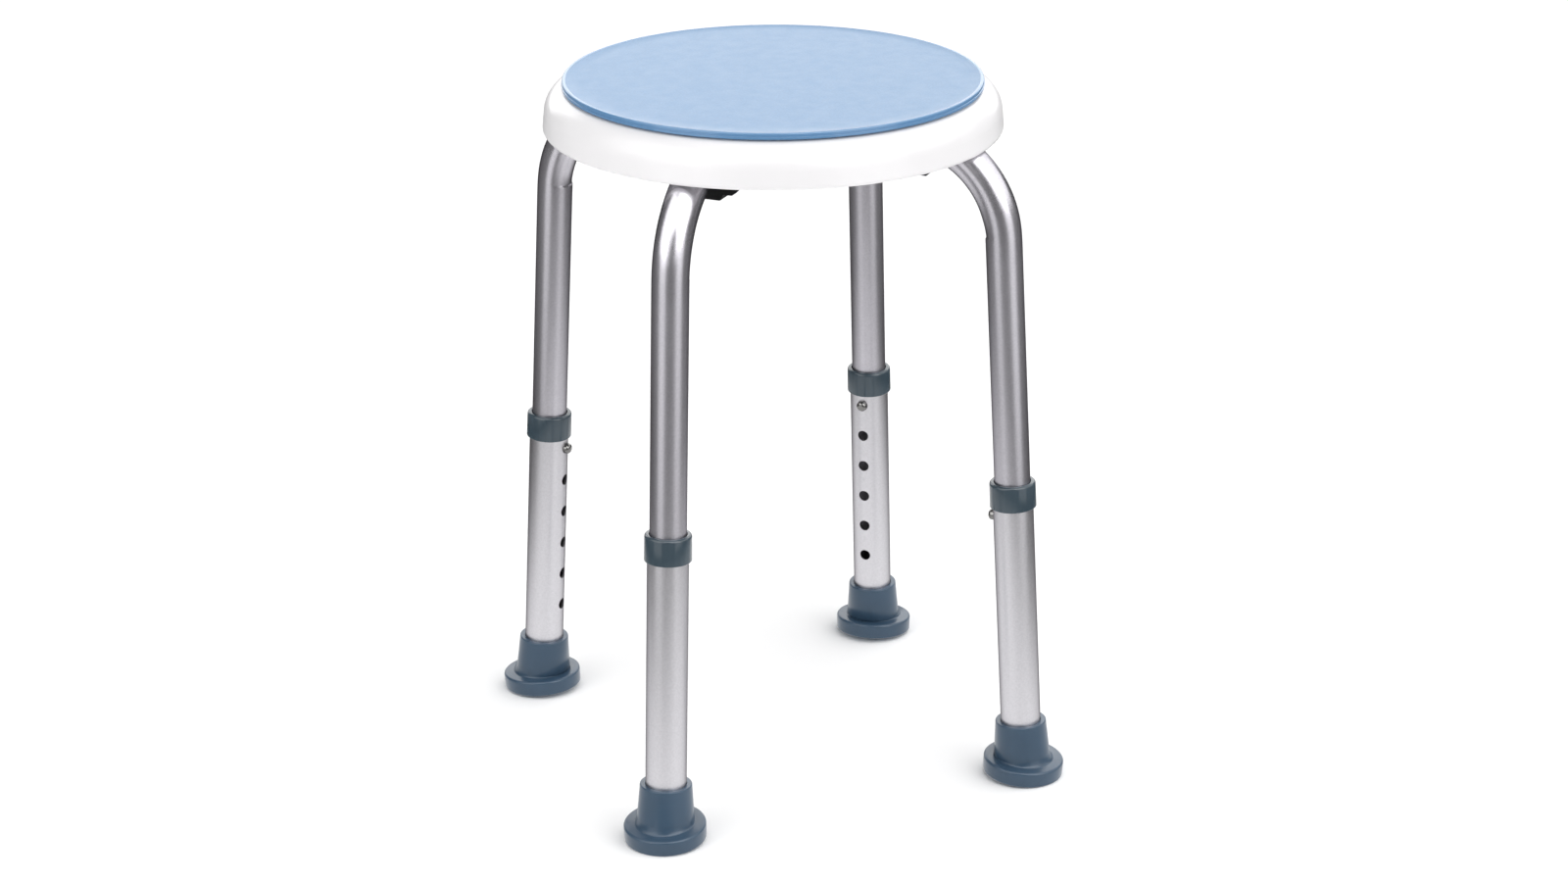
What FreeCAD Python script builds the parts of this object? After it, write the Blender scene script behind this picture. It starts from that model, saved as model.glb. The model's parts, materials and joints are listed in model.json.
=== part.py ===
import FreeCAD, Part
import math
import os
import re
import Sketcher
from FreeCAD import Placement, Rotation, Vector

# A round shower stool: a swivelling disc on a moulded seat, four bent tube legs clamped under the seat,
# and four outer legs that slide on them and lock with snap buttons.
# Frame: millimetres, +Z up, origin on the floor under the middle of the seat, front towards -Y.

# The driving dimensions: cell alias, value in mm or degrees, what it is.
SIZES = [
    ("leg_splay", 3.19, "lean of each leg from upright"),
    ("leg_reach", 194.2, "stool axis to leg axis, at the floor"),
    ("upper_od", 25.4, "upper leg tube, outside"),
    ("upper_wall", 1.2, "upper leg tube wall"),
    ("stretch_height", 468.5, "floor to the tube's axis where it lies under the seat"),
    ("bend_radius", 70.0, "bend of the upper leg, on its axis"),
    ("inner_end", 42.0, "stool axis to the inner end of an upper leg"),
    ("tube_tail", 19.2, "button to the lower end of the upper leg"),
    ("lower_od", 28.6, "lower leg tube, outside"),
    ("lower_wall", 1.3, "lower leg tube wall"),
    ("lower_bottom", 10.0, "floor to the lower leg's bottom end, along the leg"),
    ("lower_top", 220.9, "floor to the lower leg's top end, along the leg"),
    ("button_height", 198.0, "floor to the snap button, along the leg"),
    ("hole_pitch", 25.4, "spacing of the height holes"),
    ("hole_count", 6, "height holes in a lower leg"),
    ("hole_od", 8.3, "height hole"),
    ("button_od", 7.9, "snap button"),
    ("button_tip", 18.3, "leg axis to the end of the button"),
    ("button_flange", 10.0, "flange that keeps the button in the tube"),
    ("button_round", 2.6, "edge of the button's dome"),
    ("clip_face", 9.4, "leg axis to the clip's outer face, behind the button"),
    ("clip_back", 10.4, "leg axis to the clip's far arm"),
    ("clip_sheet", 0.8, "spring strip thickness"),
    ("clip_width", 9.0, "spring strip width"),
    ("clip_top", 48.0, "button to the closed end of the clip"),
    ("clip_tail", 8.0, "button to the free end of the clip's front arm"),
    ("clip_rise", 10.0, "button to the free end of the clip's far arm"),
    ("clip_round", 9.0, "outside of the clip's closed end"),
    ("collar_od", 32.8, "collar at the top of a lower leg"),
    ("collar_flare", 0.1, "how much wider the collar's foot is"),
    ("collar_bottom", 206.0, "floor to the collar, along the leg"),
    ("collar_rise", 19.0, "collar height"),
    ("collar_bore", 28.7, "collar bore on the lower leg"),
    ("lip_bore", 25.9, "bore of the collar's top lip, round the upper leg"),
    ("collar_round", 3.2, "collar shoulder"),
    ("sole_tilt", 3.84, "sole from level, outer edge down, when unloaded"),
    ("sole_od", 57.9, "foot flange"),
    ("flange_rise", 11.5, "foot flange thickness"),
    ("flange_round", 3.0, "top edge of the foot flange"),
    ("sole_round", 1.0, "bottom edge of the foot"),
    ("foot_rise", 40.0, "foot height along the leg"),
    ("sleeve_top_od", 36.3, "foot sleeve at its top"),
    ("sleeve_base_od", 40.7, "foot sleeve where it starts inside the flange"),
    ("sleeve_start", 3.0, "sole to the sleeve's start"),
    ("sleeve_fillet", 3.2, "sleeve to flange"),
    ("rim_round", 1.2, "rim of the foot sleeve"),
    ("foot_bore", 28.7, "bore that takes the lower leg"),
    ("washer_bottom", 8.0, "floor to the foot washer, along the leg"),
    ("washer_od", 28.4, "foot washer"),
    ("washer_bore", 17.0, "hole of the foot washer"),
    ("tread_count", 3, "grooves in the sole"),
    ("tread_depth", 1.2, "depth of a sole groove"),
    ("tread_width", 2.2, "width of a sole groove"),
    ("tread_first", 7.5, "radius of the first sole groove"),
    ("tread_step", 6.0, "from one sole groove to the next"),
    ("seat_bottom", 463.2, "floor to the seat's rim"),
    ("seat_top", 493.5, "floor to the seat's top face"),
    ("seat_rim_radius", 160.6, "seat at its rim"),
    ("seat_top_radius", 157.7, "seat side carried up to the top face"),
    ("seat_wall", 3.0, "seat wall"),
    ("rim_wall", 4.0, "seat wall at the rim"),
    ("shoulder_round", 18.5, "seat shoulder"),
    ("seat_rim_round", 2.6, "outer edge of the seat's rim"),
    ("well_radius", 56.3, "bearing well in the seat"),
    ("well_floor", 487.2, "floor to the bearing well's bottom"),
    ("rib_bottom", 474.0, "floor to the lower edge of the seat ribs"),
    ("rib_start", 58.0, "stool axis to a seat rib, in the wall of the well"),
    ("rib_notch", 484.7, "floor to the rib where it passes over the hub plate"),
    ("rib_drop", 78.0, "stool axis to where the rib comes down beside the hub plate"),
    ("rib_sheet", 2.4, "seat rib thickness"),
    ("rib_count", 8, "radial ribs under the seat"),
    ("ring_rib_radius", 130.0, "round rib under the seat"),
    ("ring_rib_bottom", 485.0, "floor to the round rib"),
    ("hub_top", 484.2, "floor to the hub plate's top face"),
    ("hub_disc_bottom", 477.0, "floor to the hub plate's disc"),
    ("hub_disc_radius", 56.0, "hub plate's disc"),
    ("arm_bottom", 468.8, "floor to the underside of a hub arm"),
    ("arm_start", 36.0, "stool axis to a hub arm"),
    ("arm_end", 118.0, "stool axis to the end of a hub arm"),
    ("arm_half_width", 28.0, "half the width of a hub arm"),
    ("arm_round", 6.0, "corners of a hub arm"),
    ("channel_od", 25.5, "half channels that hold the tube"),
    ("channel_start", 26.0, "stool axis to the start of a channel"),
    ("channel_turn", 45, "how far a channel follows the tube's bend"),
    ("peg_radius", 70.0, "stool axis to the locating peg of a leg"),
    ("peg_od", 6.0, "locating peg"),
    ("peg_fit", 0.2, "locating peg to the hole in the tube, all round"),
    ("peg_bottom", 477.5, "floor to the locating peg's end"),
    ("cap_start", 64.0, "stool axis to a clamp cap"),
    ("cap_end", 119.0, "stool axis to the outer face of a clamp cap"),
    ("cap_top", 468.2, "floor to the top face of a clamp cap"),
    ("cap_keel", 443.0, "floor to the lowest face of a clamp cap"),
    ("cap_keel_half", 13.0, "half the width of that face"),
    ("cap_step", 447.4, "floor to the cap's step"),
    ("cap_step_start", 14.8, "cap axis to the start of the step"),
    ("cap_step_end", 21.5, "cap axis to the end of the step"),
    ("cap_flank", 454.0, "floor to the foot of the cap's side"),
    ("cap_round", 1.4, "outer edges of a clamp cap"),
    ("core_half", 9.0, "half the length of a cored pocket in a cap"),
    ("core_top", 463.0, "floor to the end of the cored pockets"),
    ("core_wall", 2.5, "wall left beside a cored pocket"),
    ("screw_near", 76.0, "stool axis to the inner pair of clamp screws"),
    ("screw_far", 108.0, "stool axis to the outer pair of clamp screws"),
    ("screw_side", 21.0, "arm axis to a clamp screw"),
    ("screw_od", 4.0, "clamp screw shank"),
    ("screw_bore", 4.4, "clearance hole for a clamp screw"),
    ("pilot_bore", 4.1, "screw hole in a seat boss"),
    ("pilot_end", 490.0, "floor to the end of a seat boss hole"),
    ("screw_end", 489.4, "floor to a clamp screw's point"),
    ("screw_seat", 460.0, "floor to the seat of a screw head"),
    ("screw_head_od", 7.6, "clamp screw head"),
    ("screw_head_rise", 2.6, "clamp screw head height"),
    ("screw_head_round", 1.1, "edge of a clamp screw head"),
    ("screw_point", 0.6, "blunt end of a clamp screw"),
    ("recess_span", 4.4, "cross recess in a screw head, from end to end"),
    ("recess_width", 0.9, "width of the recess's slots"),
    ("recess_depth", 1.6, "depth of the recess"),
    ("counterbore_od", 8.6, "counterbore for a screw head"),
    ("boss_od", 9.0, "screw boss under the seat"),
    ("plug_reach", 10.0, "spigot of an end plug"),
    ("plug_cap", 1.5, "end plug's cap"),
    ("plug_cap_od", 25.0, "end plug's cap, across"),
    ("plug_wall", 1.5, "wall of the end plug's spigot"),
    ("plug_fit", 0.1, "end plug to tube, all round"),
    ("race_inner", 46.0, "bearing rings, inner radius"),
    ("race_outer", 56.0, "bearing rings, outer radius"),
    ("race_rise", 2.8, "bearing ring thickness"),
    ("ball_pitch_radius", 51.0, "circle of the ball centres"),
    ("ball_od", 5.0, "bearing ball"),
    ("ball_count", 24, "bearing balls"),
    ("ball_fit", 0.1, "ball to groove, all round"),
    ("cage_half", 3.5, "half the width of the ball cage"),
    ("cage_sheet", 0.7, "ball cage thickness"),
    ("plate_bottom", 494.2, "floor to the underside of the swivel plate"),
    ("plate_top", 495.9, "floor to the top of the swivel plate"),
    ("plate_radius", 143.8, "swivel plate"),
    ("spigot_radius", 45.8, "rib that centres the upper bearing ring"),
    ("spigot_wall", 2.8, "that rib's thickness"),
    ("spigot_bottom", 492.2, "floor to that rib's edge"),
    ("pivot_boss_radius", 14.0, "centre boss of the swivel plate"),
    ("pivot_boss_bottom", 488.2, "floor to that boss"),
    ("cover_radius", 146.8, "blue cover of the swivel disc"),
    ("cover_top", 498.5, "floor to the top of the cover"),
    ("cover_round", 1.3, "top edge of the cover"),
    ("cover_fit", 0.2, "cover skirt to swivel plate"),
    ("pivot_od", 8.0, "pivot bolt shank"),
    ("pivot_head_od", 17.0, "pivot bolt head"),
    ("pivot_head_seat", 491.0, "floor to the underside of the bolt head"),
    ("pivot_head_top", 494.8, "floor to the top of the bolt head"),
    ("pivot_head_round", 2.4, "edge of the bolt head's dome"),
    ("pivot_chamfer", 1.0, "chamfer at the end of the bolt"),
    ("pivot_fit", 0.1, "pivot bolt to the swivel plate, all round"),
    ("pivot_end", 464.5, "floor to the end of the pivot bolt"),
    ("bush_bore", 8.1, "pivot bush bore"),
    ("bush_od", 12.0, "pivot bush"),
    ("bush_fit", 0.05, "pivot bush to its holes, all round"),
    ("bush_flange_od", 18.0, "flange of the pivot bush"),
    ("bush_flange_rise", 0.7, "thickness of that flange"),
    ("pivot_washer_top", 476.7, "floor to the pivot washer's top"),
    ("pivot_washer_rise", 1.6, "pivot washer thickness"),
    ("pivot_washer_bore", 8.4, "hole of the pivot washer"),
    ("nut_flats", 13.0, "pivot nut across its flats"),
    ("nut_rise", 6.2, "hexagon of the pivot nut"),
    ("nut_bore", 8.1, "hole of the pivot nut"),
    ("nut_crown_od", 11.6, "locking crown of the pivot nut"),
    ("nut_crown_rise", 1.6, "height of that crown"),
]
VALUE = {alias: value for alias, value, _ in SIZES}
LEGS = {"front_left": 225, "front_right": 315, "back_right": 45, "back_left": 135}

# Where the outer end of a seat rib turns, buried in the shoulder: degrees round it from the seat's top.
RIB_END_SLOPES = (8, 30, 50, 70)

UP = Vector(0, 0, 1)
ACROSS = Vector(0, 1, 0)
NOWHERE = Vector(0, 0, 0)

# The leg axis crosses the floor at leg_reach and leans in as it rises. These give, along that axis, where
# the bend starts, and from the stool axis, where it ends and the level stretch starts.
BEND_START = "((stretch_height - bend_radius * (1 - sin(leg_splay))) / cos(leg_splay))"
BEND_END = f"(leg_reach - bend_radius * cos(leg_splay) - {BEND_START} * sin(leg_splay))"
TUBE_BOTTOM = "(button_height - tube_tail)"
BALL_HEIGHT = "((well_floor + plate_bottom) / 2)"

doc = FreeCAD.newDocument("ShowerStool")
nodes = []


# ---- The sheet and the ways that a size gets from it to a shape ----

def make_sheet():
    sheet = doc.addObject("Spreadsheet::Sheet", "Sizes")
    for row, (alias, value, meaning) in enumerate(SIZES, start=1):
        sheet.set(f"A{row}", meaning)
        sheet.set(f"B{row}", str(value))
        sheet.setAlias(f"B{row}", alias)
    doc.recompute()
    return sheet


def bound(text):
    """An expression on the sheet's cells, from one that uses their aliases alone."""
    return re.sub(r"[a-z_]+", lambda word: "Sizes." + word[0] if word[0] in VALUE else word[0], text)


def value(text):
    return float(sheet.evalExpression(bound(text)))


def drive(thing, **expressions):
    """Bind a feature's properties to the sheet."""
    for name, text in expressions.items():
        thing.setExpression(name, bound(text))


def leg_frame(angle):
    """The frame of one leg: its Z is the leg's axis from the floor up, its -X faces the stool's middle."""
    foot = Placement(Vector(VALUE["leg_reach"], 0, 0), Rotation(ACROSS, -VALUE["leg_splay"]))
    return Placement(NOWHERE, Rotation(UP, angle)) * foot


def turned(angle):
    return Placement(NOWHERE, Rotation(UP, angle))


# ---- Bodies, sketches and features ----

def new_body(label, placement=None):
    body = doc.addObject("PartDesign::Body", label)
    body.Label = label
    if placement:
        body.Placement = placement
    return body


def keep(thing):
    """Count a finished object as a sub-part of the stool."""
    nodes.append(thing)
    return thing


def new_sketch(body, role, offset=None):
    """A sketch on one of the body's own planes, moved from it by offset."""
    sketch = body.newObject("Sketcher::SketchObject", "Sketch")
    plane = next(item for item in body.Origin.OriginFeatures if item.Role == role)
    sketch.AttachmentSupport = [(plane, "")]
    sketch.MapMode = "FlatFace"
    if offset:
        sketch.AttachmentOffset = offset
    return sketch


def hold(sketch, kind, places, text):
    """Add a dimension that follows the sheet."""
    number = sketch.addConstraint(Sketcher.Constraint(kind, *places, value(text)))
    sketch.setExpression(f"Constraints[{number}]", bound(text))


def add_outline(sketch, corners):
    """A closed outline of straight sides, with each corner held by two expressions."""
    first = sketch.GeometryCount
    places = [Vector(value(x), value(y), 0) for x, y in corners]
    count = len(places)
    for number in range(count):
        sketch.addGeometry(Part.LineSegment(places[number], places[(number + 1) % count]), False)
    for number, (x, y) in enumerate(corners):
        side = first + number
        following = first + (number + 1) % count
        sketch.addConstraint(Sketcher.Constraint("Coincident", side, 2, following, 1))
        hold(sketch, "DistanceX", (-1, 1, side, 1), x)
        hold(sketch, "DistanceY", (-1, 1, side, 1), y)


def add_circle(sketch, diameter, x="0", y="0"):
    centre = Vector(value(x), value(y), 0)
    number = sketch.addGeometry(Part.Circle(centre, UP, value(diameter) / 2), False)
    hold(sketch, "DistanceX", (-1, 1, number, 3), x)
    hold(sketch, "DistanceY", (-1, 1, number, 3), y)
    hold(sketch, "Diameter", (number,), diameter)


def pad(body, sketch, length, **settings):
    feature = body.newObject("PartDesign::Pad", "Pad")
    feature.Profile = sketch
    drive(feature, Length=length)
    for name, setting in settings.items():
        setattr(feature, name, setting)
    doc.recompute()
    return feature


def cut(body, kind, sketch, **settings):
    """A Pocket or Groove, which has to take something away."""
    before = body.Shape.Volume
    feature = body.newObject("PartDesign::" + kind, kind)
    feature.Profile = sketch
    for name, setting in settings.items():
        if name in ("Length", "Angle"):
            drive(feature, **{name: setting})
        else:
            setattr(feature, name, setting)
    doc.recompute()
    if not body.Shape.Volume < before - 0.01:
        raise ValueError(f"{kind} in {body.Label} cuts nothing")
    return feature


def revolve(body, corners, axis="V_Axis"):
    sketch = new_sketch(body, "XZ_Plane")
    add_outline(sketch, corners)
    feature = body.newObject("PartDesign::Revolution", "Revolution")
    feature.Profile = sketch
    feature.ReferenceAxis = (sketch, [axis])
    feature.Angle = 360
    doc.recompute()
    return feature


def polar(body, features, count):
    """Repeat features round the body's own Z."""
    pattern = body.newObject("PartDesign::PolarPattern", "PolarPattern")
    pattern.Originals = features
    axis = next(item for item in body.Origin.OriginFeatures if item.Role == "Z_Axis")
    pattern.Axis = (axis, [""])
    pattern.Angle = 360
    if isinstance(count, str):
        drive(pattern, Occurrences=count)
    else:
        pattern.Occurrences = count
    body.Tip = pattern
    doc.recompute()
    return pattern


def fillet(body, radius, test):
    """Round the edges whose middle point, with the edge itself, passes the test."""
    chosen = []
    for number, edge in enumerate(body.Shape.Edges, start=1):
        middle = edge.valueAt((edge.FirstParameter + edge.LastParameter) / 2)
        local = body.Placement.inverse().multVec(middle)
        if test(local, edge):
            chosen.append(f"Edge{number}")
    if not chosen:
        raise ValueError(f"no edge to round in {body.Label}")
    base = body.Tip
    feature = body.newObject("PartDesign::Fillet", "Fillet")
    feature.Base = (base, chosen)
    drive(feature, Radius=radius)
    doc.recompute()
    if not feature.isValid():
        raise ValueError(f"the rounding of {chosen} in {body.Label} failed: {feature.getStatusString()}")
    return feature


def is_near(one, other, gap=0.02):
    return abs(one - other) < gap


def round_rim(body, radius, distance, height):
    """Round the circular edge at a distance from the body's Z and at a height."""
    return fillet(body, radius, lambda at, edge: is_near(math.hypot(at.x, at.y), value(distance))
                  and is_near(at.z, value(height)) and isinstance(edge.Curve, Part.Circle))


def shifted(x=0, y=0, z=0):
    return Placement(Vector(x, y, z), Rotation())


# ---- Legs ----

def upper_leg(name, angle):
    """A bent tube: up the leg, round the bend and level towards the stool's middle."""
    body = new_body(f"upper_leg_{name}", leg_frame(angle))
    spine = new_sketch(body, "XZ_Plane")
    bottom = value(TUBE_BOTTOM)
    start = value(BEND_START)
    radius = VALUE["bend_radius"]
    turn = math.radians(90 - VALUE["leg_splay"])
    centre = Vector(-radius, start, 0)
    bend_end = centre + Vector(math.cos(turn), math.sin(turn), 0) * radius
    inward = Vector(-math.sin(turn), math.cos(turn), 0)
    spine.addGeometry(Part.LineSegment(Vector(0, bottom, 0), Vector(0, start, 0)), False)
    spine.addGeometry(Part.ArcOfCircle(Part.Circle(centre, UP, radius), 0, turn), False)
    level = value(f"{BEND_END} - inner_end")
    spine.addGeometry(Part.LineSegment(bend_end, bend_end + inward * level), False)
    spine.addConstraint(Sketcher.Constraint("PointOnObject", 0, 1, -2))
    spine.addConstraint(Sketcher.Constraint("Vertical", 0))
    spine.addConstraint(Sketcher.Constraint("Tangent", 0, 2, 1, 1))
    spine.addConstraint(Sketcher.Constraint("Tangent", 1, 2, 2, 1))
    hold(spine, "DistanceY", (-1, 1, 0, 1), TUBE_BOTTOM)
    hold(spine, "DistanceY", (-1, 1, 0, 2), BEND_START)
    hold(spine, "Radius", (1,), "bend_radius")
    hold(spine, "Distance", (2,), f"{BEND_END} - inner_end")
    hold(spine, "DistanceX", (2, 2, 2, 1), f"({BEND_END} - inner_end) * cos(leg_splay)")
    ring = new_sketch(body, "XY_Plane", shifted(z=bottom))
    ring.setExpression("AttachmentOffset.Base.z", bound(TUBE_BOTTOM))
    add_circle(ring, "upper_od")
    add_circle(ring, "upper_od - 2 * upper_wall")
    pipe = body.newObject("PartDesign::AdditivePipe", "Tube")
    pipe.Profile = ring
    pipe.Spine = (spine, ["Edge1", "Edge2", "Edge3"])
    doc.recompute()
    side = new_sketch(body, "YZ_Plane")
    add_circle(side, "hole_od", y="button_height")
    cut(body, "Pocket", side, Length="upper_od")
    peg_hole(body)
    return keep(body)


def peg_hole(body):
    """The hole in the top of the level stretch that the hub plate's peg drops into."""
    upright = leg_frame(0).inverse()
    at = Placement(Vector(VALUE["peg_radius"], 0, VALUE["stretch_height"]), Rotation())
    hole = body.newObject("PartDesign::SubtractiveCylinder", "PegHole")
    hole.Placement = upright * at
    drive(hole, Radius="peg_od / 2 + peg_fit", Height="upper_od")
    doc.recompute()


def lower_leg(name, angle):
    """The outer tube, with its row of height holes facing the stool's middle."""
    body = new_body(f"lower_leg_{name}", leg_frame(angle))
    ring = new_sketch(body, "XY_Plane", shifted(z=VALUE["lower_bottom"]))
    ring.setExpression("AttachmentOffset.Base.z", bound("lower_bottom"))
    add_circle(ring, "lower_od")
    add_circle(ring, "lower_od - 2 * lower_wall")
    pad(body, ring, "lower_top - lower_bottom")
    side = new_sketch(body, "YZ_Plane")
    add_circle(side, "hole_od", y="button_height - hole_pitch * (hole_count - 1)")
    hole = cut(body, "Pocket", side, Length="lower_od")
    row = body.newObject("PartDesign::LinearPattern", "HoleRow")
    row.Originals = [hole]
    row.Direction = (side, ["V_Axis"])
    drive(row, Length="hole_pitch * (hole_count - 1)", Occurrences="hole_count")
    body.Tip = row
    doc.recompute()
    return keep(body)


def collar(name, angle):
    """The plastic collar on top of the outer tube, with a lip that guides the inner one."""
    body = new_body(f"collar_{name}", leg_frame(angle))
    top = "collar_bottom + collar_rise"
    revolve(body, [
        ("collar_bore / 2", "collar_bottom"),
        ("collar_od / 2 + collar_flare", "collar_bottom"),
        ("collar_od / 2", top),
        ("lip_bore / 2", top),
        ("lip_bore / 2", "lower_top"),
        ("collar_bore / 2", "lower_top"),
    ])
    round_rim(body, "collar_round", "collar_od / 2", top)
    return keep(body)


def foot(name, angle):
    """The rubber foot: a flange with a grooved sole, and a sleeve along the leg that holds the tube."""
    edge = value("sole_od / 2 - sole_round")
    tilt = math.radians(VALUE["sole_tilt"])
    height = edge * math.sin(tilt) + VALUE["sole_round"] * (1 - math.cos(tilt))
    splay = math.radians(VALUE["leg_splay"])
    along = height / math.cos(splay)
    middle = Vector(VALUE["leg_reach"] - height * math.tan(splay), 0, height)
    sole = turned(angle) * Placement(middle, Rotation(ACROSS, VALUE["sole_tilt"]))
    body = new_body(f"foot_{name}", sole)
    disc = new_sketch(body, "XY_Plane")
    add_circle(disc, "sole_od")
    pad(body, disc, "flange_rise")
    lean = Rotation(ACROSS, -VALUE["sole_tilt"] - VALUE["leg_splay"])
    sleeve = body.newObject("PartDesign::AdditiveCone", "Sleeve")
    sleeve.Placement = Placement(lean.multVec(UP) * VALUE["sleeve_start"], lean)
    drive(sleeve, Radius1="sleeve_base_od / 2", Radius2="sleeve_top_od / 2")
    drive(sleeve, Height="foot_rise - sleeve_start")
    doc.recompute()
    fillet(body, "sleeve_fillet", lambda at, edge: is_near(at.z, VALUE["flange_rise"])
           and math.hypot(at.x, at.y) < value("sole_od / 2 - flange_round"))
    bore = body.newObject("PartDesign::SubtractiveCylinder", "Bore")
    bore.Placement = Placement(lean.multVec(UP) * (VALUE["washer_bottom"] - along), lean)
    drive(bore, Radius="foot_bore / 2", Height="foot_rise")
    doc.recompute()
    rim = value("foot_rise - rim_round")
    fillet(body, "rim_round", lambda at, edge: lean.inverted().multVec(at).z > rim
           and isinstance(edge.Curve, Part.Circle))
    round_rim(body, "flange_round", "sole_od / 2", "flange_rise")
    round_rim(body, "sole_round", "sole_od / 2", "0")
    tread = new_sketch(body, "XZ_Plane")
    for ring in range(VALUE["tread_count"]):
        inside = f"tread_first + {ring} * tread_step"
        outside = inside + " + tread_width"
        add_outline(tread, [(inside, "0 - tread_depth"), (outside, "0 - tread_depth"),
                            (outside, "tread_depth"), (inside, "tread_depth")])
    cut(body, "Groove", tread, ReferenceAxis=(tread, ["V_Axis"]), Angle="360")
    return keep(body)


def foot_washer(name, angle):
    """The steel washer in the foot that the tube stands on."""
    body = new_body(f"foot_washer_{name}", leg_frame(angle))
    ring = new_sketch(body, "XY_Plane", shifted(z=VALUE["washer_bottom"]))
    ring.setExpression("AttachmentOffset.Base.z", bound("washer_bottom"))
    add_circle(ring, "washer_od")
    add_circle(ring, "washer_bore")
    pad(body, ring, "lower_bottom - washer_bottom")
    return keep(body)


def facing_in(angle):
    """The frame of a snap button: X points from the leg's axis towards the stool's middle."""
    level = Placement(Vector(0, 0, VALUE["button_height"]), Rotation(UP, 180))
    return leg_frame(angle) * level


def snap_button(name, angle):
    """The domed steel button, with the flange that keeps it inside the tube."""
    body = new_body(f"snap_button_{name}", facing_in(angle))
    revolve(body, [
        ("clip_face", "0"),
        ("clip_face", "button_flange / 2"),
        ("clip_face + clip_sheet", "button_flange / 2"),
        ("clip_face + clip_sheet", "button_od / 2"),
        ("button_tip", "button_od / 2"),
        ("button_tip", "0"),
    ], axis="H_Axis")
    fillet(body, "button_round", lambda at, edge: is_near(at.x, VALUE["button_tip"]))
    return keep(body)


def button_spring(name, angle):
    """The spring strip in the upper leg that pushes the button out."""
    body = new_body(f"button_spring_{name}", facing_in(angle))
    sketch = new_sketch(body, "XZ_Plane")
    front = "clip_face"
    back = "0 - clip_back"
    front_in = "clip_face - clip_sheet"
    back_in = "clip_sheet - clip_back"
    top_in = "clip_top - clip_sheet"
    add_outline(sketch, [
        (front, "0 - clip_tail"), (front, "clip_top"), (back, "clip_top"), (back, "clip_rise"),
        (back_in, "clip_rise"), (back_in, top_in), (front_in, top_in), (front_in, "0 - clip_tail"),
    ])
    pad(body, sketch, "clip_width", Midplane=True)
    for height, radius in (("clip_top", "clip_round"), (top_in, "clip_round - clip_sheet")):
        fillet(body, radius, lambda at, edge, height=height: is_near(at.z, value(height))
               and is_near(edge.Length, VALUE["clip_width"]))
    return keep(body)


def end_plug(name, angle):
    """The plug in the inner end of an upper leg."""
    body = new_body(f"end_plug_{name}", turned(angle) * shifted(z=VALUE["stretch_height"]))
    bore = "(upper_od / 2 - upper_wall - plug_fit)"
    inside = f"({bore} - plug_wall)"
    revolve(body, [
        ("inner_end - plug_cap", "0"),
        ("inner_end - plug_cap", "plug_cap_od / 2"),
        ("inner_end", "plug_cap_od / 2"),
        ("inner_end", bore),
        ("inner_end + plug_reach", bore),
        ("inner_end + plug_reach", inside),
        ("inner_end + plug_cap", inside),
        ("inner_end + plug_cap", "0"),
    ], axis="H_Axis")
    return keep(body)


# ---- Hub plate and clamp caps ----

def channel(body):
    """The half channel of one leg, cut along the tube's own line and round the start of its bend."""
    spine = new_sketch(body, "XZ_Plane")
    start = Vector(VALUE["channel_start"], VALUE["stretch_height"], 0)
    bend = Vector(value(BEND_END), VALUE["stretch_height"], 0)
    radius = VALUE["bend_radius"]
    centre = bend - Vector(0, radius, 0)
    spine.addGeometry(Part.LineSegment(start, bend), False)
    turn = math.radians(VALUE["channel_turn"])
    arc = Part.ArcOfCircle(Part.Circle(centre, UP, radius), math.pi / 2 - turn, math.pi / 2)
    spine.addGeometry(arc, False)
    spine.addConstraint(Sketcher.Constraint("Horizontal", 0))
    spine.addConstraint(Sketcher.Constraint("Tangent", 0, 2, 1, 2))
    hold(spine, "DistanceX", (-1, 1, 0, 1), "channel_start")
    hold(spine, "DistanceX", (-1, 1, 0, 2), BEND_END)
    hold(spine, "DistanceY", (-1, 1, 0, 1), "stretch_height")
    hold(spine, "Radius", (1,), "bend_radius")
    hold(spine, "DistanceX", (1, 3, 1, 1), "bend_radius * sin(channel_turn)")
    ring = new_sketch(body, "YZ_Plane", shifted(z=VALUE["channel_start"]))
    ring.setExpression("AttachmentOffset.Base.z", bound("channel_start"))
    add_circle(ring, "channel_od", y="stretch_height")
    before = body.Shape.Volume
    pipe = body.newObject("PartDesign::SubtractivePipe", "Channel")
    pipe.Profile = ring
    pipe.Spine = (spine, ["Edge1", "Edge2"])
    doc.recompute()
    if not body.Shape.Volume < before - 0.01:
        raise ValueError(f"the channel in {body.Label} cuts nothing")
    return pipe


def screw_circles(sketch, diameter):
    """The four clamp screws of one arm."""
    for distance in ("screw_near", "screw_far"):
        for side in ("screw_side", "0 - screw_side"):
            add_circle(sketch, diameter, distance, side)


def level_sketch(body, height):
    """A level sketch at a height given by an expression."""
    sketch = new_sketch(body, "XY_Plane", shifted(z=value(height)))
    sketch.setExpression("AttachmentOffset.Base.z", bound(height))
    return sketch


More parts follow.
